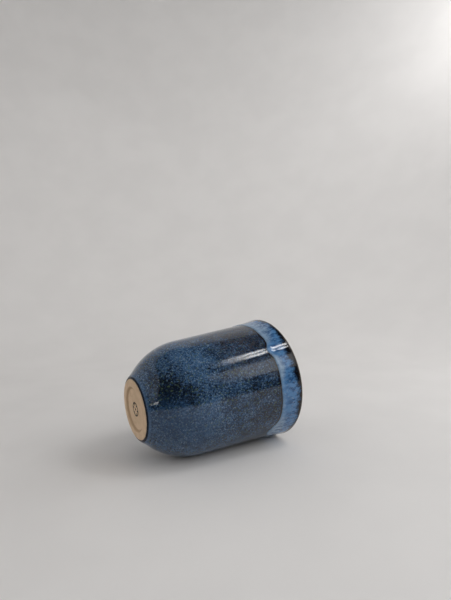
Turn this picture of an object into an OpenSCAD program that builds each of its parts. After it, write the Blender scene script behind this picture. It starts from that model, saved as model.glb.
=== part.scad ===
// Handleless stoneware mug: a thrown clay body with a trimmed foot,
// a dark glaze outside and inside, a pale glaze band dipped over the rim,
// and a small mark printed under the foot.
// Millimetres, +Z up. The origin is the middle of the foot's resting plane.

/* [Overall] */
// Height from the resting plane to the top of the lip
mug_h = 100; // [97:1:108]
// Outside diameter of the lip
rim_d = 82.5; // [80:0.5:84]

/* [Foot] */
// Outside diameter of the unglazed foot
foot_d = 36.4; // [34:0.2:38]
// Small bevel on the foot's outer edge
foot_bevel = 0.35; // [0.2:0.05:0.6]
// Width of the flat ring that the mug stands on
foot_ring_w = 3.8; // [2.5:0.1:6]
// Depth of the shallow recess inside the foot ring
recess_depth = 1.1; // [0.6:0.1:2]
// How far the recess's side slopes inwards
recess_slope = 1.4; // [0.6:0.1:2.5]
// Height of the strip of bare clay above the resting plane
bare_strip_h = 0.7; // [0.5:0.1:2]

/* [Outside wall] */
// Outside diameter at the top of the rounded belly
belly_d = 74.2; // [73:0.2:75]
// Height at the top of the rounded belly
belly_h = 34; // [33:0.5:36]
// Radius of the belly's curve
belly_round = 42; // [39:1:43]
// Outside diameter at the neck, under the flared rim
neck_d = 78.9; // [77.5:0.1:79.5]
// Height of the neck
neck_h = 84; // [80:0.5:86]
// Radius of the hollow curve between the neck and the rim
neck_round = 50; // [40:1:70]

/* [Inside] */
// Thickness of the rim, glazes included
lip_t = 3.2; // [2.8:0.1:3.6]
// Lean of the inside wall in degrees
inside_lean = 3.2; // [2.8:0.1:3.6]
// Radius of the curve between the inside wall and the floor
bowl_round = 26; // [20:1:28]
// Height of the inside floor above the resting plane
floor_h = 6.5; // [6:0.5:9]
// Depth of the pale band on the inside, down from the neck
inner_band_h = 3; // [1:0.5:10]

/* [Coats] */
// Thickness of each glaze coat
glaze_t = 0.45; // [0.3:0.05:0.7]
// Thickness of the printed mark
mark_t = 0.15; // [0.1:0.05:0.3]
// Outside diameter of the mark's ring
mark_d = 9; // [6:0.5:12]
// Width of the mark's lines
mark_line_w = 0.7; // [0.5:0.1:1]
// Number of rays in the mark
mark_rays = 6; // [3:1:8]

/* [Hidden] */
$fn = 96;

// Number of straight steps that stand for each curve
belly_steps = 24;
neck_steps = 8;
lip_steps = 16;
bowl_steps = 24;

foot_r = foot_d / 2;
belly_r = belly_d / 2;
neck_r = neck_d / 2;
lip_r = lip_t / 2;
inner_ring_r = foot_r - foot_ring_w;

// The wall's profile is drawn as [radius, height]. Angles are from upright, and
// out_normal() is the direction square to a wall that leans out by that angle.
function out_normal(lean) = [cos(lean), -sin(lean)];

// Straight wall between belly and neck, and the belly's curve tangent to it
wall_lean = atan((neck_r - belly_r) / (neck_h - belly_h));
belly_c = [belly_r, belly_h] - belly_round * out_normal(wall_lean);

// Straight wall above the foot: its clay face is tangent to the belly's clay curve
foot_to_c = [foot_r - belly_c[0], belly_c[1]];
foot_lean = atan2(foot_to_c[1], foot_to_c[0])
    - acos((belly_round - glaze_t) / norm(foot_to_c));

// Hollow curve at the neck, and the flare tangent to it and to the lip's round
neck_c = [neck_r, neck_h] + neck_round * out_normal(wall_lean);
lip_c = [rim_d / 2 - lip_r, mug_h - lip_r];
neck_to_lip = neck_c - lip_c;
flare_lean = -atan2(neck_to_lip[1], neck_to_lip[0])
    - acos((neck_round + lip_r) / norm(neck_to_lip));

// Inside: a straight wall tangent to the neck's curve and to the bowl's curve
inside_line = neck_c * out_normal(inside_lean) - neck_round - lip_t;
bowl_c = [
    (inside_line - bowl_round + (floor_h + bowl_round) * sin(inside_lean)) / cos(inside_lean),
    floor_h + bowl_round
];

// Points on a circle in the profile, from one angle to another
function arc(c, r, from, to, steps) =
    [for (i = [0:steps]) let (a = from + (to - from) * i / steps) c + r * [cos(a), sin(a)]];

// Points of a list in the opposite order
function reversed(list) = [for (i = [len(list) - 1:-1:0]) list[i]];

// Point at a height on the straight wall above the foot, at a depth below the glaze
function foot_wall(z, depth) =
    [foot_r + (glaze_t - depth) / cos(foot_lean) + z * tan(foot_lean), z];

// Point at a height on the straight inside wall, at a depth below the glaze
function inside_wall(z, depth) =
    [(inside_line + depth + z * sin(inside_lean)) / cos(inside_lean), z];

// Stretches of the profile at a depth below the glazed surface
function lower_outside(depth) = concat(
    [foot_wall(bare_strip_h, depth)],
    arc(belly_c, belly_round - depth, -foot_lean, -wall_lean, belly_steps),
    [neck_c - (neck_round + depth) * out_normal(wall_lean)]);
function flare_outside(depth) =
    arc(neck_c, neck_round + depth, 180 - wall_lean, 180 - flare_lean, neck_steps);
function over_lip(depth) =
    arc(lip_c, lip_r - depth, -flare_lean, 180 - flare_lean, lip_steps);
function flare_inside(depth) = concat(
    arc(neck_c, neck_round + lip_t - depth, 180 - flare_lean, 180 - inside_lean, neck_steps),
    [inside_wall(neck_h - inner_band_h, depth)]);
function bowl_inside(depth) = concat(
    [inside_wall(neck_h - inner_band_h, depth)],
    arc(bowl_c, bowl_round + depth, -inside_lean, -90, bowl_steps),
    [[0, floor_h - depth]]);

// Ends of the lip's round, where the outer and inner bands stop
function lip_start(depth) = over_lip(depth)[0];
function lip_end(depth) = over_lip(depth)[lip_steps];

// Ring of glaze between the surface and the clay along one stretch
module coat(surface, clay) {
    rotate_extrude() polygon(concat(surface, reversed(clay)));
}

// Thrown stoneware body: foot ring, recess, walls and lip under the glaze
module clay_body() {
    color("#c3a987")
        rotate_extrude()
            polygon(concat(
                [
                    [0, recess_depth],
                    [inner_ring_r - recess_slope, recess_depth],
                    [inner_ring_r, 0],
                    [foot_r - foot_bevel, 0],
                    foot_wall(foot_bevel, glaze_t)
                ],
                lower_outside(glaze_t),
                flare_outside(glaze_t),
                over_lip(glaze_t),
                flare_inside(glaze_t),
                bowl_inside(glaze_t)));
}

// Dark blue glaze on the outside, from the bare strip up to the neck
module body_glaze() {
    color("#1d2a45") coat(lower_outside(0), lower_outside(glaze_t));
}

// Pale blue glaze of the rim dip, one band outside the lip and one inside
module rim_glaze() {
    color("#6f93bd") {
        coat(
            concat(flare_outside(0), [lip_start(0)]),
            concat(flare_outside(glaze_t), [lip_start(glaze_t)]));
        coat(
            concat([lip_end(0)], flare_inside(0)),
            concat([lip_end(glaze_t)], flare_inside(glaze_t)));
    }
}

// Dark brown glaze that breaks over the lip
module lip_glaze() {
    color("#2a1c16") coat(over_lip(0), over_lip(glaze_t));
}

// Dark blue glaze that lines the inside, wall and floor
module liner_glaze() {
    color("#22304f") coat(bowl_inside(0), bowl_inside(glaze_t));
}

// Plain printed mark in the foot's recess: a ring, short rays and a dot
module base_mark() {
    ray_l = mark_d / 4;
    color("#2b2724")
        translate([0, 0, recess_depth - mark_t]) {
            difference() {
                cylinder(h = mark_t, d = mark_d);
                translate([0, 0, -mark_t]) cylinder(h = 3 * mark_t, d = mark_d - 2 * mark_line_w);
            }
            cylinder(h = mark_t, d = 2 * mark_line_w);
            for (i = [0:mark_rays - 1])
                rotate(i * 360 / mark_rays)
                    translate([mark_d / 2 - ray_l, -mark_line_w / 2, 0])
                        cube([ray_l - mark_line_w / 2, mark_line_w, mark_t]);
        }
}

clay_body();
body_glaze();
rim_glaze();
lip_glaze();
liner_glaze();
base_mark();
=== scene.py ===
# A handleless stoneware shaving mug on a pale studio sweep.
# The mug is built upright along +Z, as the CAD has it. The studio is turned instead: its
# floor touches the mug's lip and belly, as if the mug had been laid down on its side.

import math

import bpy
from mathutils import Matrix, Vector, noise


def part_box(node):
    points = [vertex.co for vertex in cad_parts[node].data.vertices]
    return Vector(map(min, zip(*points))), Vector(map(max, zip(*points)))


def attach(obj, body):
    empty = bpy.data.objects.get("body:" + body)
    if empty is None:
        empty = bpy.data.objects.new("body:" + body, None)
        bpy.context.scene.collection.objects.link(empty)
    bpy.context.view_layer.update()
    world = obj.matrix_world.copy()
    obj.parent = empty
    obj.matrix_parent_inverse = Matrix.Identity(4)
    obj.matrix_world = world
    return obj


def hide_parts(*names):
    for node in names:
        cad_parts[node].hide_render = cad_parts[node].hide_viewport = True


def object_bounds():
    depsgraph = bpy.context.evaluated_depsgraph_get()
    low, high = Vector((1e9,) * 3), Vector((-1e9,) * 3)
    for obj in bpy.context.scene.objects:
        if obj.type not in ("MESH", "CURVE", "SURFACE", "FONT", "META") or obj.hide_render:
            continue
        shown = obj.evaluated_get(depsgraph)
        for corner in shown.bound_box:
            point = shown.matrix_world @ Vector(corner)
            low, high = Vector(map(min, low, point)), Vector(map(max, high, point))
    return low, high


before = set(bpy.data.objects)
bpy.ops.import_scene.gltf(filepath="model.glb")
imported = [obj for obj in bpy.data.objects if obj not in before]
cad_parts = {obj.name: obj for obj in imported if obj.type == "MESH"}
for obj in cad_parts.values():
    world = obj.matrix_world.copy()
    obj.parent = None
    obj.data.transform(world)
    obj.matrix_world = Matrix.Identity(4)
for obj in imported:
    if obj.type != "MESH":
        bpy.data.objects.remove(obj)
cad_low, cad_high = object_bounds()

MM = 0.001
TINY = 1e-6

# ---------------------------------------------------------------- sizes from the frame, mm

MUG_H = cad_high.z / MM
RIM_R = cad_high.x / MM
NECK_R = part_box("body_glaze")[1].x / MM
NECK_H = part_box("body_glaze")[1].z / MM
BARE_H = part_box("body_glaze")[0].z / MM
GLAZE_T = MUG_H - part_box("clay_body")[1].z / MM
FLOOR_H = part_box("liner_glaze")[0].z / MM + GLAZE_T
LINER_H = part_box("liner_glaze")[1].z / MM
RECESS_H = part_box("base_mark")[1].z / MM
MARK_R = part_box("base_mark")[1].x / MM

# ---------------------------------------------------------------- rest of the profile, mm
# These are part.scad's own values, which the frame doesn't carry.

FOOT_R = 18.2
FOOT_BEVEL = 0.35
FOOT_RING_W = 3.8
RECESS_SLOPE = 1.4
BELLY_R = 37.1
BELLY_H = 34.0
BELLY_ROUND = 42.0
NECK_ROUND = 50.0
LIP_T = 3.2
LIP_R = LIP_T / 2
BOWL_ROUND = 26.0
INSIDE_LEAN = math.radians(3.2)


def out_normal(lean):
    """Direction square to a wall that leans out by this angle, as (radius, height)."""
    return Vector((math.cos(lean), -math.sin(lean)))


def tangent_lean(to_centre, gap):
    """Lean of a straight wall that passes another centre at this distance."""
    return math.atan2(to_centre.y, to_centre.x) - math.acos(gap / to_centre.length)


wall_lean = math.atan((NECK_R - BELLY_R) / (NECK_H - BELLY_H))
belly_c = Vector((BELLY_R, BELLY_H)) - BELLY_ROUND * out_normal(wall_lean)
foot_lean = tangent_lean(Vector((FOOT_R - belly_c.x, belly_c.y)), BELLY_ROUND - GLAZE_T)
neck_c = Vector((NECK_R, NECK_H)) + NECK_ROUND * out_normal(wall_lean)
lip_c = Vector((RIM_R - LIP_R, MUG_H - LIP_R))
neck_to_lip = neck_c - lip_c
flare_lean = -math.atan2(neck_to_lip.y, neck_to_lip.x) - math.acos(
    (NECK_ROUND + LIP_R) / neck_to_lip.length)
inside_line = neck_c.dot(out_normal(INSIDE_LEAN)) - NECK_ROUND - LIP_T
bowl_h = FLOOR_H + BOWL_ROUND
bowl_c = Vector((
    (inside_line - BOWL_ROUND + bowl_h * math.sin(INSIDE_LEAN)) / math.cos(INSIDE_LEAN),
    bowl_h))


def arc(centre, radius, start, end, step=0.5):
    """Points along a circle in the profile, about one step apart, between two angles."""
    count = max(2, math.ceil(abs(end - start) * radius / step))
    angles = [start + (end - start) * i / count for i in range(count + 1)]
    return [centre + radius * Vector((math.cos(a), math.sin(a))) for a in angles]


def even(points, step=0.5):
    """The same profile, with points about one step apart on its straight stretches too."""
    made = [points[0]]
    for a, b in zip(points, points[1:]):
        count = max(1, math.ceil((b - a).length / step))
        made += [a + (b - a) * i / count for i in range(1, count + 1)]
    return made


class Skin:
    """The glazed surface's profile, walked by its length in mm from the foot's edge,
    up the outside, over the lip and down the inside to the middle of the floor."""

    def __init__(self):
        outside = even(
            [Vector((FOOT_R + GLAZE_T / math.cos(foot_lean), 0))]
            + arc(belly_c, BELLY_ROUND, -foot_lean, -wall_lean)
            + arc(neck_c, NECK_ROUND, math.pi - wall_lean, math.pi - flare_lean))
        lip = arc(lip_c, LIP_R, -flare_lean, math.pi - flare_lean, step=0.1)
        flare = even([outside[-1], lip[0]])
        inside = even(
            [lip[-1]]
            + arc(neck_c, NECK_ROUND + LIP_T, math.pi - flare_lean, math.pi - INSIDE_LEAN)
            + arc(bowl_c, BOWL_ROUND, -INSIDE_LEAN, -math.pi / 2)
            + [Vector((0, FLOOR_H))])
        self.points = [outside[0]]
        self.along = [0.0]
        for p in outside[1:] + flare[1:] + lip[1:] + inside[1:]:
            gap = (p - self.points[-1]).length
            if gap > TINY:
                self.points.append(p)
                self.along.append(self.along[-1] + gap)
        self.length = self.along[-1]
        self.lip_start = self.length_at(lambda s, p: p.y >= lip[0].y - TINY)
        self.lip_end = self.lip_start + math.pi * LIP_R

    def length_at(self, test):
        """Length to the first point of the profile that passes a test."""
        return next(s for s, p in zip(self.along, self.points) if test(s, p))

    def at(self, s):
        """The point at length s, and the direction out of the clay there."""
        s = min(max(s, 0.0), self.length - TINY)
        low, high = 0, len(self.points) - 2
        while low < high:
            middle = (low + high + 1) // 2
            if self.along[middle] <= s:
                low = middle
            else:
                high = middle - 1
        a, b = self.points[low], self.points[low + 1]
        before = self.points[max(low - 1, 0)]
        after = self.points[min(low + 2, len(self.points) - 1)]
        t = (s - self.along[low]) / (self.along[low + 1] - self.along[low])
        run = (b - before).normalized().lerp((after - a).normalized(), t)
        return a.lerp(b, t), Vector((run.y, -run.x)).normalized()


skin = Skin()
bare_s = BARE_H / math.cos(foot_lean)
neck_s = skin.length_at(lambda s, p: p.y >= NECK_H)
liner_s = skin.length_at(lambda s, p: s > skin.lip_end and p.y <= LINER_H)

# ---------------------------------------------------------------- the glaze's unevenness


def smooth(low, high, x):
    """0 below low, 1 above high, and an even S between."""
    t = min(max((x - low) / (high - low), 0.0), 1.0)
    return t * t * (3 - 2 * t)


def swell(d, height, middle, width):
    """A smooth rise of this height about the place where d is middle, and 0 far from it."""
    return height * math.exp(-(((d - middle) / width) ** 2))


# Radius in mm of the round path on which the noise for the wall is read
NOISE_R = 38.0


def around(angle, z, size, seed=0.0):
    """Smooth noise, -1 to 1, on the mug's wall, with features about size mm across."""
    return noise.noise(Vector((
        NOISE_R * math.cos(angle) / size + seed, NOISE_R * math.sin(angle) / size, z / size)))


def wobble(s, angle):
    """How far the thrown wall stands off its true profile, in mm."""
    rings = 0.012 * math.sin(s / 2.1 + 2.5 * around(angle, s, 30, 3.1))
    dents = 0.07 * around(angle, s, 24)
    ripples = 0.015 * around(angle, s, 9, 7.7)
    return rings + dents + ripples


# Runs of glaze along the rim band's lower edge: where round the mug in degrees, how far
# the run reaches down and how wide it is, in mm
RUNS = (
    (4, 2.4, 3.6), (92, 6.0, 8.0), (128, 1.6, 5.0), (163, 3.4, 5.5), (214, 1.8, 4.0),
    (247, 4.2, 6.5), (292, 2.2, 4.5))


def run_depth(angle):
    """How far the rim band's runs reach down at this angle, in mm."""
    depth = 0.0
    for degrees, reach, width in RUNS:
        turn = (angle - math.radians(degrees) + math.pi) % (2 * math.pi) - math.pi
        depth += swell(turn * NECK_R, reach, 0.0, width)
    return depth


def foot_edge(angle):
    """Length along the skin to the dark coat's lower edge, over the bare strip."""
    return bare_s - 0.45 + 0.12 * around(angle, 0, 5, 4.4)


def band_edge(angle):
    """Length along the skin to the rim band's lower edge outside."""
    return neck_s + 0.8 * around(angle, 0, 11, 5.3) - run_depth(angle)


def inner_band_edge(angle):
    """Length along the skin to the rim band's lower edge inside."""
    return liner_s + 1.6 * around(angle, 0, 9, 9.1) + 2.2 * abs(around(angle, 0, 26, 1.7))


# ---------------------------------------------------------------- turned meshes

SEGMENTS = 288
ANGLES = [2 * math.pi * i / SEGMENTS for i in range(SEGMENTS)]
# Width in mm of a coat's rounded edge, and where it has rows of points as shares of it
EDGE_W = 0.8
EDGE_STEPS = (0.0, 0.04, 0.12, 0.26, 0.44, 0.68)
# How far a coat's underside sinks into the clay, and the gap between its rows there, in mm
UNDERLAP = 0.05
UNDER_STEP = 6
# How far from the axis the last row of a part that closes there stands, in mm
POLE_R = 0.3


def lathe_part(rows, looped):
    """Vertices and faces of a turned solid. A row holds one (radius, height) for each
    angle; looped joins the last row to the first, and otherwise both ends close in poles."""
    vertices = [
        (p.x * math.cos(a) * MM, p.x * math.sin(a) * MM, p.y * MM)
        for row in rows for p, a in zip(row, ANGLES)]
    faces = []
    pairs = [(j, j + 1) for j in range(len(rows) - 1)]
    if looped:
        pairs.append((len(rows) - 1, 0))
    for j, k in pairs:
        for i in range(SEGMENTS):
            n = (i + 1) % SEGMENTS
            faces.append((
                j * SEGMENTS + i, j * SEGMENTS + n, k * SEGMENTS + n, k * SEGMENTS + i))
    if not looped:
        for row, first in ((rows[0], True), (rows[-1], False)):
            pole = len(vertices)
            vertices.append((0, 0, sum(p.y for p in row) / len(row) * MM))
            base = 0 if first else (len(rows) - 1) * SEGMENTS
            for i in range(SEGMENTS):
                n = (i + 1) % SEGMENTS
                rim = (base + n, base + i) if first else (base + i, base + n)
                faces.append((*rim, pole))
    return vertices, faces


def make_piece(name, parts, material, replaced, attribute=None):
    """One object from several closed solids, its body and what it replaces."""
    vertices, faces, values = [], [], []
    for part_vertices, part_faces, part_values in parts:
        offset = len(vertices)
        vertices += part_vertices
        faces += [tuple(v + offset for v in face) for face in part_faces]
        values += part_values
    mesh = bpy.data.meshes.new(name)
    mesh.from_pydata(vertices, [], faces)
    if attribute:
        layer = mesh.attributes.new(attribute, "FLOAT", "POINT")
        layer.data.foreach_set("value", values)
    mesh.materials.append(material)
    mesh.polygons.foreach_set("use_smooth", [True] * len(mesh.polygons))
    mesh.update()
    piece = bpy.data.objects.new(name, mesh)
    bpy.context.scene.collection.objects.link(piece)
    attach(piece, "root")
    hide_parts(replaced)


def coat_part(start, end, rise, sinks, step, measure):
    """A closed shell of glaze between two edges that are lengths along the skin at each
    angle. rise(s, angle) is how far its face stands over the skin, and sinks are how far
    under the skin its two rounded edges start. An end with no sink closes at the axis.
    measure(s, angle) is stored at each point for the material."""
    start_sink, end_sink = sinks
    to_axis = end_sink is None
    length = end(0.0) - start(0.0)
    inner_count = math.ceil((length - 2 * EDGE_W) / step)
    places = [("start", EDGE_W * d) for d in EDGE_STEPS]
    places += [("between", i / inner_count) for i in range(inner_count + 1)]
    if not to_axis:
        places += [("end", EDGE_W * d) for d in reversed(EDGE_STEPS)]

    def length_at(place, angle):
        """Where one of the face's rows crosses this angle, as a length along the skin."""
        kind, d = place
        first, last = start(angle), end(angle)
        if kind == "start":
            return first + d
        if kind == "end":
            return last - d
        low = first + EDGE_W
        high = last - POLE_R if to_axis else last - EDGE_W
        return low + (high - low) * d

    def rounding(d):
        """Share of its full rise that the face has d mm in from an edge."""
        d = min(d / EDGE_W, 1.0)
        return math.sqrt(1 - (1 - d) ** 2)

    rows, values = [], []
    under_count = max(3, math.ceil(length / UNDER_STEP))
    for i in range(under_count + 1):
        t = 1 - i / under_count
        row = []
        for angle in ANGLES:
            s = start(angle) + (end(angle) - start(angle)) * t
            if to_axis and i == 0:
                s = end(angle) - POLE_R
            point, normal = skin.at(s)
            row.append(point - normal * (GLAZE_T + UNDERLAP))
            values.append(measure(s, angle))
        rows.append(row)
    for place in places:
        row = []
        for angle in ANGLES:
            s = length_at(place, angle)
            point, normal = skin.at(s)
            height = rise(s, angle)
            at_start = rounding(s - start(angle))
            height = height * at_start - start_sink * (1 - at_start)
            if not to_axis:
                at_end = rounding(end(angle) - s)
                height = height * at_end - end_sink * (1 - at_end)
            row.append(point + normal * height)
            values.append(measure(s, angle))
        rows.append(row)
    vertices, faces = lathe_part(rows, looped=not to_axis)
    values += [0.0] * (len(vertices) - len(values))
    return vertices, faces, values


# ---------------------------------------------------------------- node materials


class Graph:
    """A node material under construction. Its coordinates are the object's own, in mm."""

    def __init__(self, name):
        self.material = bpy.data.materials.new(name)
        self.material.use_nodes = True
        self.tree = self.material.node_tree
        self.tree.nodes.clear()
        self.output = self.tree.nodes.new("ShaderNodeOutputMaterial")

    def node(self, kind, inputs, **settings):
        """A node with its settings, and a value or a link at each input named."""
        made = self.tree.nodes.new(kind)
        for name, value in settings.items():
            setattr(made, name, value)
        for name, value in inputs.items():
            if isinstance(value, bpy.types.NodeSocket):
                self.tree.links.new(value, made.inputs[name])
            else:
                made.inputs[name].default_value = value
        return made

    def place(self, stretch=1.0, shift=0.0):
        """The object's coordinates in mm, moved by shift. A stretch below 1 shrinks heights,
        so that marks run up the wall."""
        source = self.node("ShaderNodeTexCoord", {}).outputs["Object"]
        scale = (1 / MM, 1 / MM, stretch / MM)
        mapping = self.node("ShaderNodeMapping", {
            "Vector": source, "Scale": scale, "Location": (shift, shift, shift)})
        return mapping.outputs["Vector"]

    def height(self):
        """Height over the foot in mm."""
        return self.node("ShaderNodeSeparateXYZ", {"Vector": self.place()}).outputs["Z"]

    def value_of(self, attribute):
        """What the mesh stores at each of its points under this name."""
        made = self.node("ShaderNodeAttribute", {}, attribute_name=attribute)
        return made.outputs["Fac"]

    def distance(self, place, point):
        """How far a place is from a fixed point."""
        made = self.tree.nodes.new("ShaderNodeVectorMath")
        made.operation = "DISTANCE"
        self.tree.links.new(place, made.inputs[0])
        made.inputs[1].default_value = point
        return made.outputs["Value"]

    def noise(self, size, detail=2.0, roughness=0.5, stretch=1.0, shift=0.0):
        """Noise from 0 to 1 with features about size mm across. A shift keeps it from
        agreeing with other noise."""
        return self.node("ShaderNodeTexNoise", {
            "Vector": self.place(stretch, shift), "Scale": 1 / size, "Detail": detail,
            "Roughness": roughness}).outputs["Fac"]

    def ramp(self, value, low, high, to_low=0.0, to_high=1.0):
        """A smooth step in value between low and high."""
        return self.node("ShaderNodeMapRange", {
            "Value": value, "From Min": low, "From Max": high,
            "To Min": to_low, "To Max": to_high},
            interpolation_type="SMOOTHSTEP").outputs["Result"]

    def math(self, operation, a, b=0.0, c=0.0):
        """One operation on values or links."""
        made = self.tree.nodes.new("ShaderNodeMath")
        made.operation = operation
        for socket, value in zip(made.inputs, (a, b, c)):
            if isinstance(value, bpy.types.NodeSocket):
                self.tree.links.new(value, socket)
            else:
                socket.default_value = value
        return made.outputs[0]

    def mix(self, factor, a, b):
        """Colour a where factor is 0 and b where it is 1."""
        made = self.node("ShaderNodeMix", {}, data_type="RGBA")
        for name, value in (("Factor", factor), ("A", a), ("B", b)):
            socket = next(
                s for s in made.inputs if s.name == name
                and (s.type == "RGBA" or name == "Factor") and s.enabled)
            if isinstance(value, bpy.types.NodeSocket):
                self.tree.links.new(value, socket)
            else:
                socket.default_value = (*value, 1) if isinstance(value, tuple) else value
        return next(s for s in made.outputs if s.type == "RGBA")

    def bump(self, height, depth, normal=None):
        """Normals of a surface raised by height times depth mm."""
        inputs = {"Height": height, "Distance": depth * MM, "Strength": 1.0}
        if normal is not None:
            inputs["Normal"] = normal
        return self.node("ShaderNodeBump", inputs).outputs["Normal"]

    def finish(self, **inputs):
        """Ends in one shader with these inputs, underscores for spaces."""
        names = {name.replace("_", " "): value for name, value in inputs.items()}
        shader = self.node("ShaderNodeBsdfPrincipled", names)
        self.tree.links.new(shader.outputs[0], self.output.inputs["Surface"])
        return self.material


GLAZE_IOR = 1.5

# Linear colours
BLACK = (0.004, 0.008, 0.017)
NAVY = (0.014, 0.034, 0.074)
BLUE = (0.054, 0.115, 0.220)
SPECK = (0.190, 0.260, 0.340)
OLIVE = (0.068, 0.102, 0.052)
BROWN = (0.012, 0.007, 0.005)
INK = (0.004, 0.004, 0.006)
LIP_BROWN = (0.050, 0.026, 0.010)
UMBER = (0.047, 0.041, 0.048)
INDIGO = (0.009, 0.042, 0.105)
PALE = (0.215, 0.315, 0.440)
SKY = (0.076, 0.195, 0.390)
DEEP = (0.015, 0.058, 0.160)
CLAY = (0.680, 0.505, 0.345)
CLAY_DARK = (0.540, 0.380, 0.240)
# Painted shade for the corner of the foot's recess
CLAY_RECESS_SHADE = (0.400, 0.270, 0.165)
STAIN = (0.022, 0.018, 0.018)


def night_colours(g, blueness):
    """Black glaze broken by blue mottling, olive tints and fine light specks."""
    cloud = g.noise(7.0, 3.0, 0.6)
    streak = g.noise(2.4, 2.0, 0.5, stretch=0.12, shift=40.0)
    grain = g.noise(1.15, 2.0, 0.65, shift=90.0)
    amount = g.math("MULTIPLY_ADD", cloud, 0.9, g.math("MULTIPLY", streak, 0.4))
    amount = g.math("ADD", g.math("MULTIPLY_ADD", grain, 2.2, amount), blueness)
    base = g.mix(g.ramp(amount, 1.40, 1.80), BLACK, NAVY)
    base = g.mix(g.ramp(amount, 1.65, 2.35), base, BLUE)
    olive = g.ramp(g.noise(1.3, 1.0, shift=150.0), 0.60, 0.70, 0.0, 0.65)
    base = g.mix(olive, base, OLIVE)
    specks = g.math(
        "MULTIPLY", g.ramp(g.noise(0.75, 1.0, shift=210.0), 0.58, 0.68),
        g.ramp(amount, 1.45, 2.20, 0.15, 0.90))
    return g.mix(specks, base, SPECK)


# Depth in mm of the soft dents in every glaze
DENT_DEPTH = 0.02


def glaze_bump(g, peel_depth, share=1.0):
    """Fine orange peel in the glaze, peel_depth mm deep where share is 1, on soft dents."""
    peel = g.math("MULTIPLY", g.noise(0.9, 2.0, 0.6, shift=60.0), share)
    return g.bump(g.noise(5.0, 1.0, shift=70.0), DENT_DEPTH, g.bump(peel, peel_depth))


# Soft clouds in the dark coat: height in mm, where round the mug in degrees, size in mm,
# and how much bluer (or blacker, below 0) the glaze is in the middle
CLOUDS = (
    (12, 15, 17, -0.60), (33, 4, 15, 0.26), (30, 52, 24, 0.22), (25, 29, 12, -0.28),
    (26, -20, 17, 0.22), (66, 12, 14, 0.12), (64, 35, 10, -0.15), (45, 110, 26, 0.20),
    (20, 150, 20, -0.25), (55, 190, 24, 0.22), (28, 235, 22, 0.20), (60, 280, 20, -0.20))
# Patches where it breaks to brown: height, where round the mug, size and strength
RUST = ((68, -14, 30, 0.95), (70, 62, 20, 0.35), (66, 200, 22, 0.5), (62, 262, 14, 0.5))
# Patches of deep even blue: height, where round the mug, size and strength
INDIGO_SPOTS = ((12, 55, 24, 1.00), (28, 66, 24, 0.70), (30, 160, 26, 0.6), (40, 250, 24, 0.6))
# Paler blooms in the rim band: height, where round the mug, size and how far it pushes the
# pale edge up in mm. The first, at -30 degrees, is partly pale glaze and partly painted
# reflection: it lightens the band where the card is mirrored.
BLOOMS_AND_SHEEN = (
    (90, -30, 26, 11.0), (84, 22, 12, 8.0), (85, 93, 22, 12.0), (88, 150, 14, 6.0),
    (86, 210, 18, 7.0), (88, 285, 20, 6.0))
# Where the pale band breaks to black further down from the lip: height, where round the
# mug, size and how much further down in mm
LIP_BREAKS = ((96, 18, 34, 2.0), (96, 130, 20, 1.2), (96, 215, 30, 1.8), (96, 290, 16, 1.2))


def patch(g, height, degrees, size, strength):
    """Strength in the middle of a soft spot on the outside wall, and 0 past its edge."""
    radius = skin.at(skin.length_at(lambda s, p: p.y >= height))[0].x
    a = math.radians(degrees)
    centre = (radius * math.cos(a), radius * math.sin(a), height)
    return g.ramp(g.distance(g.place(), centre), 0.0, size, strength, 0.0)


# Heights in mm between which the black line round the foot ends (thin dark glaze with painted
# shadow at the glaze's edge), and the paler blue above it (a painted reflection of the room in
# the glaze's bead)
FOOT_LINE_AND_SHADOW = (1.35, 1.75)
FOOT_REFLECTION_BLUE = (2.0, 3.2)
# Heights between which the orange peel grows and then fades, and its share at each
PEEL_GROWS = (28.0, 46.0, 0.05, 2.2)
PEEL_FADES = (52.0, 70.0, 1.0, 0.25)


def body_glaze_material():
    """Dark speckled glaze with blue, black, brown and indigo clouds, lined at both edges. At the
    foot the black line is partly painted shadow, and the blue strip above it is a painted
    reflection.
    """
    g = Graph("dark blue glaze")
    z = g.height()
    blueness = g.ramp(z, 30.0, 78.0, 0.14, -0.10)
    for cloud in CLOUDS:
        blueness = g.math("ADD", blueness, patch(g, *cloud))
    colour = night_colours(g, blueness)
    flecks = g.ramp(g.noise(1.3, 2.0, 0.6, shift=170.0), 0.40, 0.60)
    for spot in RUST:
        colour = g.mix(g.math("MULTIPLY", patch(g, *spot), flecks), colour, UMBER)
    even = g.ramp(g.noise(1.2, 2.0, 0.6, shift=130.0), 0.42, 0.60, 1.0, 0.15)
    for spot in INDIGO_SPOTS:
        colour = g.mix(g.math("MULTIPLY", patch(g, *spot), even), colour, INDIGO)
    edge = g.math("MULTIPLY_ADD", g.noise(3.0, 1.0, shift=15.0), 0.4, z)
    # Painted reflection: a paler blue strip over the foot's black line stands for the room
    # mirrored in the glaze's bead
    colour = g.mix(g.ramp(edge, *FOOT_REFLECTION_BLUE, 0.6, 0.0), colour, BLUE)
    # The black line round the foot: thin dark glaze at its edge, with painted shadow where the
    # glaze meets the bare strip
    colour = g.mix(g.ramp(edge, *FOOT_LINE_AND_SHADOW, 1.0, 0.0), colour, BLACK)
    colour = g.mix(g.ramp(g.value_of("band_gap"), 0.3, 1.9, 0.9, 0.0), colour, BROWN)
    peel = g.math("MULTIPLY", g.ramp(z, *PEEL_GROWS), g.ramp(z, *PEEL_FADES))
    return g.finish(
        Base_Color=colour, Roughness=0.05, IOR=GLAZE_IOR,
        Specular_IOR_Level=g.ramp(edge, *FOOT_LINE_AND_SHADOW, 0.1, 0.5),
        Normal=glaze_bump(g, peel_depth=0.03, share=peel))


# Heights in mm between which the rim breaks to black, and then to brown over the lip
BREAKS_BLACK = (94.6, 98.4)
BREAKS_BROWN = (98.0, 99.2)


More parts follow.
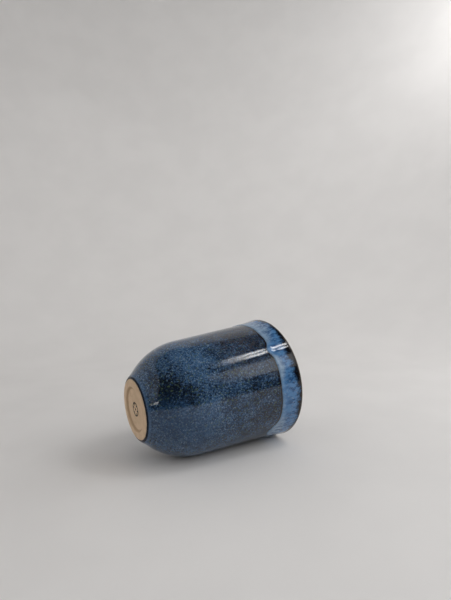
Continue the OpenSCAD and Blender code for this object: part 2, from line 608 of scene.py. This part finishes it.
def rim_colours(g):
    """Pale at the band's edge, streaked blue above it and brown where it breaks at the lip."""
    reach = g.value_of("band_reach")
    streak = g.math("SUBTRACT", g.noise(2.2, 3.0, 0.65, stretch=0.35, shift=20.0), 0.5)
    cloud = g.math("SUBTRACT", g.noise(9.0, 2.0, 0.6, shift=75.0), 0.5)
    mottle = g.math("SUBTRACT", g.noise(1.5, 3.0, 0.65, shift=33.0), 0.5)
    fall = g.math("MULTIPLY_ADD", cloud, 7.0, g.math("MULTIPLY_ADD", mottle, 7.0, reach))
    # Pale blooms of the glaze; the one at -30 degrees is also a painted reflection of the card
    for spot in BLOOMS_AND_SHEEN:
        fall = g.math("SUBTRACT", fall, patch(g, *spot))
    colour = g.mix(g.ramp(fall, -3.5, 3.0), PALE, SKY)
    deep = g.math(
        "MULTIPLY", g.ramp(g.math("MULTIPLY_ADD", mottle, 0.5, streak), -0.08, 0.12),
        g.ramp(reach, 0.5, 9.0, 0.25, 1.0))
    colour = g.mix(deep, colour, DEEP)
    colour = g.mix(g.ramp(mottle, 0.04, 0.18, 0.0, 0.6), colour, PALE)
    ragged = g.math("MULTIPLY_ADD", streak, 1.6, g.math("MULTIPLY_ADD", mottle, 5.0, g.height()))
    ragged = g.math("MULTIPLY_ADD", cloud, 6.0, ragged)
    for spot in LIP_BREAKS:
        ragged = g.math("ADD", ragged, patch(g, *spot))
    colour = g.mix(g.ramp(ragged, *BREAKS_BLACK), colour, INK)
    return g.mix(g.ramp(g.height(), *BREAKS_BROWN), colour, LIP_BROWN)


def rim_glaze_material():
    """Glossy pale blue glaze."""
    g = Graph("pale blue glaze")
    return g.finish(
        Base_Color=rim_colours(g), Roughness=0.06, IOR=GLAZE_IOR,
        Normal=glaze_bump(g, peel_depth=0.005))


def lip_glaze_material():
    """The rim's colours where the glaze runs thin and duller over the lip."""
    g = Graph("brown lip glaze")
    return g.finish(
        Base_Color=rim_colours(g), Roughness=0.25, IOR=GLAZE_IOR,
        Normal=glaze_bump(g, peel_depth=0.01))


def liner_glaze_material():
    """The dark speckled glaze again, bluer where it pools on the floor."""
    g = Graph("liner glaze")
    pool = g.ramp(g.height(), 8.0, 40.0, 0.30, 0.0)
    return g.finish(
        Base_Color=night_colours(g, pool), Roughness=0.08, IOR=GLAZE_IOR,
        Normal=glaze_bump(g, peel_depth=0.02))


# Radii in mm between which the painted shade in the recess's corner, a darker ring, starts and
# ends
RECESS_SHADE_STARTS = (12.2, 13.2)
RECESS_SHADE_ENDS = (13.6, 14.6)
# Depths in mm of the clay's fine grain and of its soft dents
GRAIN_DEPTH = 0.03
CLAY_DENT_DEPTH = 0.05


def clay_material():
    """Matt buff stoneware with grog, cloudy, with painted shade darkening the corner of the
    recess.
    """
    g = Graph("bare clay")
    cloud = g.noise(6.0, 3.0, 0.6)
    colour = g.mix(g.ramp(cloud, 0.35, 0.70, 0.0, 0.6), CLAY, CLAY_DARK)
    grog = g.ramp(g.noise(0.35, 1.0, shift=12.0), 0.60, 0.75, 0.0, 0.5)
    colour = g.mix(grog, colour, CLAY_DARK)
    radius = g.distance(g.place(stretch=0.0), (0, 0, 0))
    # Painted shade: a darker ring all round the corner of the recess
    corner = g.math(
        "MULTIPLY", g.ramp(radius, *RECESS_SHADE_STARTS), g.ramp(radius, *RECESS_SHADE_ENDS, 1.0, 0.0))
    colour = g.mix(g.math("MULTIPLY", corner, 0.75), colour, CLAY_RECESS_SHADE)
    grain = g.bump(g.noise(0.25, 2.0, 0.7), GRAIN_DEPTH)
    return g.finish(
        Base_Color=colour, Roughness=0.85,
        Normal=g.bump(g.noise(2.0, 2.0), CLAY_DENT_DEPTH, grain))


def stain_material():
    """Matt black stain that has worn through to the clay in places."""
    g = Graph("black stain")
    worn = g.ramp(g.noise(0.5, 2.0, 0.6), 0.55, 0.72, 0.0, 0.45)
    return g.finish(
        Base_Color=g.mix(worn, STAIN, CLAY_DARK), Roughness=0.8,
        Normal=g.bump(g.noise(0.3, 2.0), depth=0.02))


# ---------------------------------------------------------------- the clay body

# All in mm. The gap between the foot's rows
FOOT_STEP = 0.3
# How much wider the recess's worn slope is than the CAD's, on the outside and inside
WORN_OUT = 0.2
WORN_IN = 0.5
# How far the recess sags in its middle, and the radius from which it does
RECESS_SAG = 0.10
SAG_R = 13
# The foot's rounded outer corner: its height, its bulge past the foot, and its rows
CORNER_H = 0.6
CORNER_BULGE = 0.05
CORNER_ROWS = 6


def foot_profile():
    """(radius, height) down the recess, over the foot ring and up the bare strip."""
    step_out = FOOT_R - FOOT_RING_W + WORN_OUT
    step_in = step_out - RECESS_SLOPE - WORN_IN
    flat_end = FOOT_R - FOOT_BEVEL
    made = []
    r = POLE_R
    while r < flat_end:
        deep = 1 - smooth(step_in, step_out, r)
        made.append(Vector((r, RECESS_H * deep - RECESS_SAG * deep * smooth(SAG_R, 0, r))))
        r += FOOT_STEP
    corner = FOOT_R + CORNER_H * math.tan(foot_lean)
    bulge = FOOT_R + CORNER_BULGE
    for i in range(CORNER_ROWS + 1):
        t = i / CORNER_ROWS
        made.append(Vector((
            (1 - t) ** 2 * flat_end + 2 * t * (1 - t) * bulge + t * t * corner,
            t * t * CORNER_H)))
    return made


# Gap and depth of the trimming tool's grooves, and size and depth of the dents, in mm
GROOVE_GAP = 1.25
GROOVE_DEPTH = 0.022
FOOT_DENT_SIZE = 4
FOOT_DENT_DEPTH = 0.05


def trimming(r, angle):
    """Fine grooves that the trimming tool left in the foot, on soft dents, in mm."""
    drift = 2 * noise.noise(Vector((r / 3, 0, 0)))
    groove = math.sin(2 * math.pi * r / GROOVE_GAP + 0.9 * math.sin(angle) + drift)
    dent = noise.noise(Vector((
        r * math.cos(angle) / FOOT_DENT_SIZE, r * math.sin(angle) / FOOT_DENT_SIZE, 0)))
    return GROOVE_DEPTH * groove + FOOT_DENT_DEPTH * dent


# Height in mm over which the tool's marks fade in above the resting plane
MARKS_FADE_H = 0.25
# Lengths in mm along the skin: from the bare strip's top to the clay's first row under the
# glaze, from its last row to the axis, and between its rows, also round the lip
CLAY_START = 0.6
CLAY_END = 0.5
CLAY_STEP = 3.0
CLAY_LIP_STEP = 0.4


def clay_part():
    """The clay body: its bare foot with the tool's marks, and its wall under the coats."""
    rows = []
    for p in foot_profile():
        free = smooth(0.0, MARKS_FADE_H, p.y) * smooth(FOOT_R, FOOT_R - FOOT_RING_W, p.x)
        rows.append([Vector((p.x, p.y + free * trimming(p.x, a))) for a in ANGLES])
    s = bare_s + CLAY_START
    while s < skin.length - CLAY_END:
        point, normal = skin.at(s)
        rows.append([point - normal * GLAZE_T] * SEGMENTS)
        by_lip = skin.lip_start - 1 < s < skin.lip_end + 1
        s += CLAY_LIP_STEP if by_lip else CLAY_STEP
    vertices, faces = lathe_part(rows, looped=False)
    return vertices, faces, []


# ---------------------------------------------------------------- the coats

# Lengths in mm along the skin: how far the dark coats run under the rim band, how far the
# band runs over the lip, and how far from the lip its rise fades, outside and inside
UNDER_BAND = 2.5
LIP_LAP = 0.35
RIM_FADE = 13
INNER_FADE = 7
# Depths in mm under the skin at which the band's edges start, at its foot and at the lip
BAND_SINK = 0.12
BAND_LIP_SINK = 0.25
# How far the lip's coat stands over the skin, and how far under it its edges start
LIP_RISE = 0.02
LIP_SINK = 0.05
# Reach from the band's edge at which the rim's colours are read on the lip
LIP_REACH = 16.0


def body_rise(s, angle):
    """The thrown wall's unevenness, with a bead where the glaze stopped over the foot."""
    return wobble(s, angle) * smooth(0, 6, s - bare_s) + swell(s - bare_s, 0.22, 1.6, 1.1)


def band_gap(s, angle):
    """How far below the rim band's edge a point is."""
    return band_edge(angle) - s


def rim_rise(s, angle):
    """The band stands proud of the coat it runs over, most of all at its edge and runs."""
    bead = swell(s - band_edge(angle), 0.16 + 0.05 * run_depth(angle), 1.1, 1.0)
    fade = 1 - smooth(skin.lip_start - RIM_FADE, skin.lip_start, s)
    return (wobble(s, angle) + 0.24) * fade + bead


def inner_rim_rise(s, angle):
    """The same inside, lower and without runs."""
    fade = smooth(skin.lip_end, skin.lip_end + INNER_FADE, s)
    return 0.22 * fade + swell(inner_band_edge(angle) - s, 0.14, 1.1, 1.0)


def liner_rise(s, angle):
    """Throwing rings that a finger left inside, which die out under the rim band."""
    rings = 0.14 * math.sin(s / 1.25 + 1.2 * around(angle, s, 40, 2.2))
    calm = smooth(inner_band_edge(angle), inner_band_edge(angle) + 8, s)
    well = smooth(skin.length - 1, skin.length - 10, s)
    return rings * calm * well


def make_coats():
    """The four glazes, each over or against its neighbours as on the real mug."""
    deep_sink = GLAZE_T + UNDERLAP
    make_piece(
        "dark_glaze_coat",
        [coat_part(
            foot_edge, lambda a: band_edge(a) + UNDER_BAND, body_rise,
            sinks=(deep_sink, deep_sink), step=0.7, measure=band_gap)],
        body_glaze_material(), "body_glaze", "band_gap")
    make_piece(
        "rim_band",
        [coat_part(
            band_edge, lambda a: skin.lip_start + LIP_LAP, rim_rise,
            sinks=(BAND_SINK, BAND_LIP_SINK), step=0.5, measure=lambda s, a: s - band_edge(a)),
         coat_part(
            lambda a: skin.lip_end - LIP_LAP, inner_band_edge, inner_rim_rise,
            sinks=(BAND_LIP_SINK, BAND_SINK), step=0.7,
            measure=lambda s, a: inner_band_edge(a) - s)],
        rim_glaze_material(), "rim_glaze", "band_reach")
    make_piece(
        "lip_line",
        [coat_part(
            lambda a: skin.lip_start - EDGE_W, lambda a: skin.lip_end + EDGE_W,
            lambda s, a: LIP_RISE, sinks=(LIP_SINK, LIP_SINK), step=0.3,
            measure=lambda s, a: LIP_REACH)],
        lip_glaze_material(), "lip_glaze", "band_reach")
    make_piece(
        "liner_coat",
        [coat_part(
            lambda a: inner_band_edge(a) - UNDER_BAND, lambda a: skin.length, liner_rise,
            sinks=(deep_sink, None), step=0.8, measure=lambda s, a: 0.0)],
        liner_glaze_material(), "liner_glaze")


# ---------------------------------------------------------------- the printed mark

# The mark in mm: its lines' width, how far it stands off the clay, how uneven its edges are
# and how narrow a stroke may run out. It has this many rays.
MARK_LINE = 0.8
MARK_T = 0.06
MARK_UNEVEN = 0.07
MARK_LEAST = 0.03
MARK_RAYS = 6
# Points along the ring and along a ray, and the dot's radius in widths of a line
RING_POINTS = 72
RAY_POINTS = 10
DOT_R = 0.52


def stroke_part(centre_line, half_width, closed):
    """A flat stroke of stain along a line of (x, y) in mm, with an uneven edge. Its section
    has three levels, from inside the clay to its face, which is a little narrower."""
    count = len(centre_line)
    face = RECESS_H - RECESS_SAG - MARK_T
    levels = (RECESS_H + 0.05, face + 0.02, face)
    insets = (0.0, 0.0, 0.05)
    sides = [(1, 0), (1, 1), (1, 2), (-1, 2), (-1, 1), (-1, 0)]
    vertices = []
    for i, p in enumerate(centre_line):
        after = centre_line[(i + 1) % count] if closed or i + 1 < count else p
        before = centre_line[i - 1] if closed or i else p
        run = (after - before).normalized()
        across = Vector((-run.y, run.x))
        for side, level in sides:
            rough = MARK_UNEVEN * noise.noise(Vector((p.x * 2.2, p.y * 2.2, side * 5)))
            end = 1.0
            if not closed:
                end = math.sqrt(max(0.05, 1 - (abs(2 * i / (count - 1) - 1)) ** 6))
            width = (half_width + rough) * end - insets[level]
            q = p + across * side * max(width, MARK_LEAST)
            vertices.append((q.x * MM, q.y * MM, levels[level] * MM))
    ring = len(sides)
    faces = []
    for i in range(count if closed else count - 1):
        n = (i + 1) % count
        for k in range(ring):
            m = (k + 1) % ring
            faces.append((i * ring + k, i * ring + m, n * ring + m, n * ring + k))
    if not closed:
        faces.append(tuple(range(ring))[::-1])
        faces.append(tuple((count - 1) * ring + k for k in range(ring)))
    return vertices, faces, []


def make_mark():
    """A plain ring with short rays and a dot, printed in the recess of the foot."""
    ring_r = MARK_R - MARK_LINE / 2
    turns = [2 * math.pi * i / RING_POINTS for i in range(RING_POINTS)]
    parts = [stroke_part(
        [Vector((math.cos(t), math.sin(t))) * ring_r for t in turns], MARK_LINE / 2, True)]
    ray_start = MARK_R / 2
    for k in range(MARK_RAYS):
        t = 2 * math.pi * k / MARK_RAYS
        out = Vector((math.cos(t), math.sin(t)))
        line = [
            out * (ray_start + (ring_r - ray_start) * i / (RAY_POINTS - 1))
            for i in range(RAY_POINTS)]
        parts.append(stroke_part(line, MARK_LINE / 2, False))
    dot = [Vector((math.cos(t), math.sin(t))) * MARK_LINE * DOT_R for t in turns[::4]]
    parts.append(stroke_part(dot, MARK_LINE * 0.5, True))
    make_piece("foot_mark", parts, stain_material(), "base_mark")


# ---------------------------------------------------------------- the studio

# The floor touches the lip's round and the belly's round on the side at this azimuth, and
# the mouth points this far back from the picture's right
LYING_SIDE = math.radians(135)
MOUTH_HEADING = math.radians(30.9)

floor_lean = -tangent_lean(lip_c - belly_c, BELLY_ROUND - LIP_R)
floor_gap = out_normal(floor_lean).dot(belly_c) + BELLY_ROUND
up = Vector((
    -math.cos(LYING_SIDE) * math.cos(floor_lean),
    -math.sin(LYING_SIDE) * math.cos(floor_lean),
    math.sin(floor_lean)))
mouth = (Vector((0, 0, 1)) - up * up.z).normalized()
right = mouth * math.cos(MOUTH_HEADING) - up.cross(mouth) * math.sin(MOUTH_HEADING)
back = up.cross(right)
middle = Vector((0, 0, MUG_H / 2))
origin = middle - up * (up.dot(middle) + floor_gap)


def studio(side, depth, height):
    """A place in the studio in metres: to the picture's right, away and up from the floor."""
    return origin * MM + right * side + back * depth + up * height


def studio_direction(azimuth, elevation):
    """A direction in degrees: azimuth from straight back round to the right, elevation up."""
    a, e = math.radians(azimuth), math.radians(elevation)
    return (right * math.sin(a) + back * math.cos(a)) * math.cos(e) + up * math.sin(e)


def looking(place, forward, top):
    """Where a camera or light stands, looking along forward."""
    z = -forward.normalized()
    x = top.cross(z).normalized()
    y = z.cross(x)
    return Matrix.Translation(place) @ Matrix((x, y, z)).transposed().to_4x4()


# Where the camera stands in the studio, and its angles in degrees
CAMERA_PLACE = (0.01662, -0.30472, 0.11674)
CAMERA_PAN = -0.18
CAMERA_PITCH = -3.36
CAMERA_ROLL = 2.0
LENS = 27.70


def make_camera():
    """The photo's point of view."""
    data = bpy.data.cameras.new("camera")
    data.sensor_width = 36
    data.lens = LENS
    data.clip_start = 0.01
    data.clip_end = 20
    camera = bpy.data.objects.new("camera", data)
    place = looking(
        studio(*CAMERA_PLACE), studio_direction(CAMERA_PAN, CAMERA_PITCH), up)
    camera.matrix_world = place @ Matrix.Rotation(-math.radians(CAMERA_ROLL), 4, "Z")
    bpy.context.scene.collection.objects.link(camera)
    bpy.context.scene.camera = camera


# Height over the floor that the panels aim at
AIM_H = 0.035


def make_panel(name, azimuth, elevation, distance, width, height, radiance, seen=True):
    """A soft light panel round the mug. One that isn't seen adds light and no reflection."""
    data = bpy.data.lights.new(name, "AREA")
    data.shape = "RECTANGLE"
    data.size = width
    data.size_y = height
    data.energy = radiance * math.pi * width * height
    light = bpy.data.objects.new(name, data)
    to_panel = studio_direction(azimuth, elevation)
    target = studio(0, 0, AIM_H)
    light.matrix_world = looking(target + to_panel * distance, -to_panel, up)
    light.visible_camera = False
    light.visible_glossy = seen
    bpy.context.scene.collection.objects.link(light)
    return light


def make_glow(name, place, target, radiance):
    """A small lamp, never seen itself, that brightens one part of the card."""
    lamp = make_panel(name, 0, 0, 1.0, 0.2, 0.2, radiance, seen=False)
    lamp.matrix_world = looking(place, target - place, up)


def make_lights():
    """Two bright panes for the highlights, dim cards for the reflections, and glows and
    fills for the light that falls on the mug and the card."""
    pane = dict(azimuth=102.2, distance=0.6, width=0.09, height=0.024, radiance=14.0)
    make_panel("upper_pane", elevation=57.3, **pane)
    make_panel("lower_pane", elevation=53.2, **pane)
    make_panel("window_glow", 100, 55, 0.62, 0.30, 0.20, 1.6, seen=False)
    make_panel("side_wall", 92, 28, 0.95, 0.95, 0.68, 0.45)
    make_panel("side_card", 113.5, 32, 0.65, 0.24, 0.23, 1.25)
    make_panel("side_glow", 98, 32, 0.95, 0.9, 0.6, 0.9, seen=False)
    make_panel("front_fill", 150, 35, 0.9, 0.8, 0.5, 0.7, seen=False)
    make_panel("small_lamp", -141.5, 5.1, 0.9, 0.06, 0.070, 4.0)
    make_panel("top_card", 5, 46, 0.8, 0.75, 0.3, 0.15)
    make_panel("ceiling", 60, 75, 1.6, 1.6, 1.6, 0.10, seen=False)
    make_panel("left_wall", -80, 20, 1.1, 1.0, 0.7, 0.8, seen=False)
    make_glow("corner_glow", studio(0.55, 0.35, 0.63), studio(0.45, 0.62, 0.63), 9.5)
    make_glow("right_glow", studio(0.62, 0.15, 0.28), studio(0.36, 0.36, 0.08), 2.9)


# Linear colour of the card, and the share of it in the darker clouds
CARD = (0.783, 0.767, 0.754)
CARD_CLOUD = 0.97
# The sweep in metres: its flat floor, its reach behind the mug and in front, and its height
FLAT_R = 0.35
SWEEP_R = 0.85
FRONT_R = 0.35
SWEEP_H = 1.28
# How much higher it stands on the right, as a share of its height
SWEEP_TILT = 0.2
# Azimuths in degrees at which it lies flat and at which it has its full height, and the
# power that shapes the rise between them
LEFT_RISE = (-142, -100)
RIGHT_RISE = (95, 55)
RISE_CURVE = 0.6


def rise_share(azimuth):
    """How much of its full height the sweep reaches on this side of the mug, 0 to 1."""
    flat, full = LEFT_RISE if azimuth < 0 else RIGHT_RISE
    return min(1.0, max(0.0, (azimuth - flat) / (full - flat))) ** RISE_CURVE


def stage_material(name):
    """Matt pale card that only shows its lit side, so that it never hides the mug."""
    g = Graph(name)
    cloud = tuple(c * CARD_CLOUD for c in CARD)
    tone = g.mix(g.ramp(g.noise(60.0, 2.0), 0.3, 0.7), CARD, cloud)
    card = g.node("ShaderNodeBsdfDiffuse", {"Color": tone}).outputs[0]
    clear = g.node("ShaderNodeBsdfTransparent", {}).outputs[0]
    behind = g.node("ShaderNodeNewGeometry", {}).outputs["Backfacing"]
    mixed = g.tree.nodes.new("ShaderNodeMixShader")
    for socket, source in zip(mixed.inputs, (behind, card, clear)):
        g.tree.links.new(source, socket)
    g.tree.links.new(mixed.outputs[0], g.output.inputs["Surface"])
    return g.material


def make_stage_object(name, vertices, faces, material):
    """A smooth sheet that isn't part of the mug."""
    mesh = bpy.data.meshes.new(name)
    mesh.from_pydata(vertices, [], faces)
    mesh.materials.append(material)
    mesh.polygons.foreach_set("use_smooth", [True] * len(mesh.polygons))
    made = bpy.data.objects.new(name, mesh)
    bpy.context.scene.collection.objects.link(made)
    return made


def make_sweep():
    """Pale card: a flat floor that curves up behind the mug and on both sides of it."""
    sectors, flat_rows, curve_rows = 144, 8, 24
    vertices = [studio(0, 0, 0)]
    rows = [(FLAT_R * (i + 1) / flat_rows, 0.0) for i in range(flat_rows)]
    for i in range(1, curve_rows + 1):
        t = math.pi / 2 * i / curve_rows
        rows.append((
            FLAT_R + (SWEEP_R - FLAT_R) * math.sin(t), SWEEP_H * (1 - math.cos(t))))
    for radius, height in rows:
        for k in range(sectors):
            azimuth = 360 * k / sectors - 180
            a = math.radians(azimuth)
            share = rise_share(azimuth)
            front = FRONT_R + (SWEEP_R - FRONT_R) * smooth(-0.3, 0.3, math.sin(a))
            reach = radius * (front + (SWEEP_R - front) * share) / SWEEP_R
            rise = height * share * (1 + SWEEP_TILT * math.sin(a))
            vertices.append(studio(reach * math.sin(a), reach * math.cos(a), rise))
    faces = [(0, 1 + (k + 1) % sectors, 1 + k) for k in range(sectors)]
    for j in range(len(rows) - 1):
        for k in range(sectors):
            n = (k + 1) % sectors
            low, high = 1 + j * sectors, 1 + (j + 1) * sectors
            faces.append((low + k, low + n, high + n, high + k))
    sweep = make_stage_object("sweep", vertices, faces, stage_material("pale card"))
    sweep.visible_shadow = False


# Half the shelf's width, and how far under the foot it lies, in metres
SHELF_REACH = 3.0
SHELF_DROP = 0.0003


def make_shelf():
    """A pale floor under the upright mug, for views from above. It only shows itself: no
    light reaches or leaves the mug by it."""
    r, z = SHELF_REACH, -SHELF_DROP
    vertices = [(-r, -r, z), (r, -r, z), (r, r, z), (-r, r, z)]
    shelf = make_stage_object("shelf", vertices, [(0, 1, 2, 3)], stage_material("pale shelf"))
    shelf.visible_diffuse = False
    shelf.visible_glossy = False
    shelf.visible_transmission = False
    shelf.visible_shadow = False


# Light from the room below and above, and the rise of a direction at which each holds
FILL_BELOW = 0.14
FILL_ABOVE = 0.285
FILL_TURN = 0.3
# Linear colours of the room where it lights, where the glaze mirrors it and where it is seen
ROOM_LIGHT = (1.0, 1.0, 1.0)
ROOM_MIRRORED = (0.02, 0.02, 0.022)
ROOM_SEEN = (0.58, 0.57, 0.56)


def make_world():
    """A dim room round the studio, with a pale backdrop where the camera sees past the card."""
    world = bpy.data.worlds.new("room")
    world.use_nodes = True
    tree = world.node_tree
    tree.nodes.clear()
    output = tree.nodes.new("ShaderNodeOutputWorld")
    path = tree.nodes.new("ShaderNodeLightPath")
    rise = tree.nodes.new("ShaderNodeVectorMath")
    rise.operation = "DOT_PRODUCT"
    rise.inputs[1].default_value = up
    share = tree.nodes.new("ShaderNodeMapRange")
    share.inputs["From Min"].default_value = -FILL_TURN
    share.inputs["From Max"].default_value = FILL_TURN
    share.inputs["To Min"].default_value = FILL_BELOW
    share.inputs["To Max"].default_value = FILL_ABOVE
    way = tree.nodes.new("ShaderNodeTexCoord").outputs["Generated"]
    tree.links.new(way, rise.inputs[0])
    tree.links.new(rise.outputs["Value"], share.inputs["Value"])

    def shade(colour):
        made = tree.nodes.new("ShaderNodeBackground")
        made.inputs["Color"].default_value = (*colour, 1)
        return made

    light = shade(ROOM_LIGHT)
    tree.links.new(share.outputs["Result"], light.inputs["Strength"])
    room = light.outputs[0]
    for colour, ray in ((ROOM_MIRRORED, "Is Glossy Ray"), (ROOM_SEEN, "Is Camera Ray")):
        mixed = tree.nodes.new("ShaderNodeMixShader")
        sources = (path.outputs[ray], room, shade(colour).outputs[0])
        for socket, source in zip(mixed.inputs, sources):
            tree.links.new(source, socket)
        room = mixed.outputs[0]
    tree.links.new(room, output.inputs["Surface"])
    bpy.context.scene.world = world
    bpy.context.scene.view_settings.view_transform = "Standard"


make_camera()
make_world()
make_lights()
make_sweep()
make_shelf()
make_piece("stoneware_body", [clay_part()], clay_material(), "clay_body")
make_coats()
make_mark()
